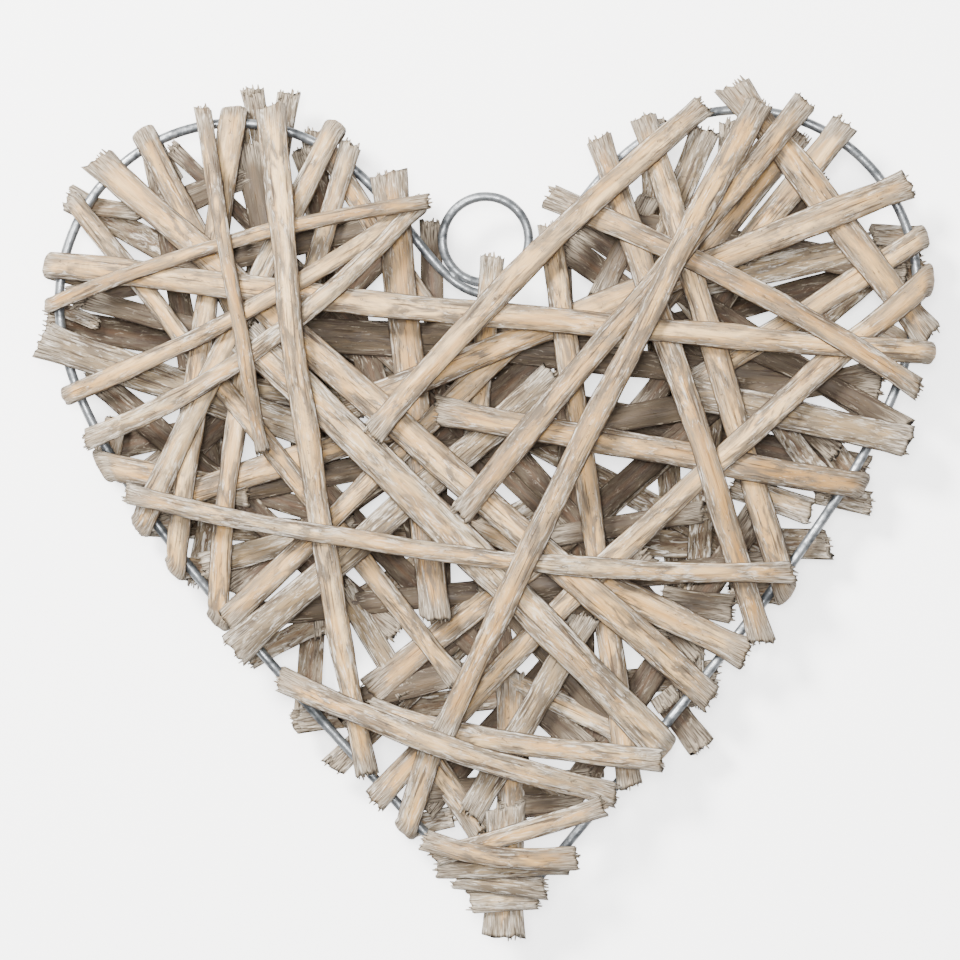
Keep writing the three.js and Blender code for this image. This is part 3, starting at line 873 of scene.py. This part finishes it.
def makeZinc():
    material, tree, shader = newMaterial("galvanisedZinc")
    where = addNode(tree, "ShaderNodeTexCoord").outputs["Object"]
    cloud = addNode(tree, "ShaderNodeTexNoise", zincLook["cloud"])
    fine = addNode(tree, "ShaderNodeTexNoise", zincLook["fine"])
    for node in (cloud, fine):
        tree.links.new(where, node.inputs["Vector"])
    blotch = addRamp(tree, cloud.outputs["Fac"], *zincLook["dullFrom"])
    tint = addMix(tree, blotch, colour(*zincLook["base"]), colour(*zincLook["dull"]))
    rough = addMath(tree, "MULTIPLY", blotch, zincLook["roughSpread"])
    rough = addMath(tree, "ADD", zincLook["rough"], rough)
    fineHeight = addMath(tree, "MULTIPLY", fine.outputs["Fac"], zincLook["fineShare"])
    bump = addNode(tree, "ShaderNodeBump", zincLook["bump"])
    tree.links.new(addMath(tree, "ADD", cloud.outputs["Fac"], fineHeight), bump.inputs["Height"])
    tree.links.new(tint, shader.inputs["Base Color"])
    tree.links.new(rough, shader.inputs["Roughness"])
    tree.links.new(bump.outputs[0], shader.inputs["Normal"])
    shader.inputs["Metallic"].default_value = zincLook["metal"]
    return material


zinc = makeZinc()
wire = {
    "faceAngle": 0.8,            # what two triangles of the solid may differ by to be one face
    "cornerAngle": 3.0,
    "swell": 0.18 * mm,          # what the subdivision takes off the round
    "dent": 0.12 * mm,
    "dentsPerMetre": 160,
    "rounding": 2,
}


def makeWire(nodeName, pieceName):
    bm = bmesh.new()
    bm.from_mesh(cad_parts[nodeName].data)
    bmesh.ops.remove_doubles(bm, verts=bm.verts[:], dist=mergeDistance)
    bmesh.ops.join_triangles(bm, faces=bm.faces[:], angle_face_threshold=wire["faceAngle"],
                             angle_shape_threshold=wire["cornerAngle"])
    bm.normal_update()
    for vert in bm.verts:
        vert.co += vert.normal * (wire["swell"] + wire["dent"] * wave(*(vert.co * wire["dentsPerMetre"])))
    piece = newPiece(pieceName, bm, zinc, [nodeName])
    modifier = piece.modifiers.new("round", "SUBSURF")
    modifier.levels = modifier.render_levels = wire["rounding"]


makeWire("heart_wire_frame", "heart_wire")
makeWire("hanging_ring", "ring_wire")

# The weld is a small bead between the two wires
weld = {
    "length": 4.6 * mm,
    "radius": 1.35 * mm,
    "way": (-0.68, -0.733, 0),   # from the ring's centre
    "rounding": 3,
    "lump": 0.3 * mm,
    "lumpsPerMetre": 900,
}


def makeWeld():
    low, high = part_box("hanging_ring")
    way = Vector(weld["way"])
    spot = (low + high) / 2 + way * ((high.x - low.x) / 2)
    bm = bmesh.new()
    bmesh.ops.create_icosphere(bm, subdivisions=weld["rounding"], radius=1.0)
    turn = way.to_track_quat("X", "Z").to_matrix().to_4x4()
    scale = Matrix.Diagonal((weld["radius"], weld["length"] / 2, weld["radius"], 1))
    bmesh.ops.transform(bm, matrix=Matrix.Translation(spot) @ turn @ scale, verts=bm.verts[:])
    for vert in bm.verts:
        lump = weld["lump"] * wave(*(vert.co * weld["lumpsPerMetre"]))
        vert.co += (vert.co - spot).normalized() * lump
    newPiece("ring_weld", bm, zinc)


makeWeld()
print("wire, ring and weld made")


# Floor, light and camera

floorLook = {
    "size": 4.0,
    "tone": (236, 236, 236),
    "rough": 0.9,
    "seenGlow": 3.1,
    "glow": 0.03,
    "shadowReach": 22 * mm,
    "shadowShare": 0.55,
    "shadowFrom": (-0.45, 0.45, 0.77),
    "shadowSamples": 2,
}


# The shade under the heart: how open each spot of the floor is towards the key light
def addShade(tree):
    lean = addNode(tree, "ShaderNodeCombineXYZ", dict(zip("XYZ", floorLook["shadowFrom"])))
    reach = {"Distance": floorLook["shadowReach"]}
    shade = addNode(tree, "ShaderNodeAmbientOcclusion", reach, samples=floorLook["shadowSamples"])
    tree.links.new(lean.outputs[0], shade.inputs["Normal"])
    openness = addMath(tree, "MULTIPLY", shade.outputs["AO"], floorLook["shadowShare"])
    return addMath(tree, "ADD", openness, 1 - floorLook["shadowShare"])


def makeFloor():
    bm = bmesh.new()
    bmesh.ops.create_grid(bm, x_segments=1, y_segments=1, size=floorLook["size"] / 2)
    mesh = bpy.data.meshes.new("floor")
    bm.to_mesh(mesh)
    bm.free()
    floor = bpy.data.objects.new("floor", mesh)
    bpy.context.scene.collection.objects.link(floor)
    material, tree, shader = newMaterial("paleFloor")
    mesh.materials.append(material)
    shader.inputs["Base Color"].default_value = colour(*floorLook["tone"])
    shader.inputs["Roughness"].default_value = floorLook["rough"]
    shader.inputs["Emission Color"].default_value = colour(*floorLook["tone"])
    glow = addSeenGlow(tree, floorLook["glow"], floorLook["seenGlow"], addShade(tree))
    tree.links.new(glow, shader.inputs["Emission Strength"])


lights = {
    "keyLight": {"spot": (-0.7, 0.8, 1.1), "size": 0.4, "power": 77.0, "tint": (1.0, 0.985, 0.955)},
    "fillLight": {"spot": (1.1, -0.5, 1.3), "size": 1.0, "power": 4.0, "tint": (1.0, 1.0, 1.0)},
    "topLight": {"spot": (-0.1, 0.15, 1.7), "size": 0.5, "power": 44.0, "tint": (1.0, 1.0, 1.0)},
}
room = {"glow": 0.13, "seenGlow": 2.4}


def addLight(name, look):
    data = bpy.data.lights.new(name, "AREA")
    data.shape = "DISK"
    data.size = look["size"]
    data.energy = look["power"]
    data.color = look["tint"]
    lamp = bpy.data.objects.new(name, data)
    lamp.location = look["spot"]
    lamp.rotation_mode = "QUATERNION"
    lamp.rotation_quaternion = (Vector((0, 0, wirePlane)) - Vector(look["spot"])).to_track_quat("-Z", "Y")
    bpy.context.scene.collection.objects.link(lamp)


def makeRoom():
    world = bpy.data.worlds.new("studio")
    world.use_nodes = True
    background = world.node_tree.nodes["Background"]
    background.inputs["Color"].default_value = white
    glow = addSeenGlow(world.node_tree, room["glow"], room["seenGlow"])
    world.node_tree.links.new(glow, background.inputs["Strength"])
    bpy.context.scene.world = world


# The photograph looks straight down, and the heart lies a little turned in it
view = {
    "across": 318 * mm,
    "height": 1.2,
    "middle": (-3.9 * mm, 10.0 * mm),
    "turn": math.radians(-1.5),
    "sensor": 36.0,
}


def makeCamera():
    data = bpy.data.cameras.new("camera")
    data.sensor_width = view["sensor"]
    data.lens = view["sensor"] * view["height"] / view["across"]
    camera = bpy.data.objects.new("camera", data)
    camera.location = (*view["middle"], wirePlane + view["height"])
    camera.rotation_euler = (0, 0, view["turn"])
    bpy.context.scene.collection.objects.link(camera)
    bpy.context.scene.camera = camera


makeFloor()
for name, look in lights.items():
    addLight(name, look)
makeRoom()
makeCamera()
print("floor, lights and camera set")

bpy.context.view_layer.update()
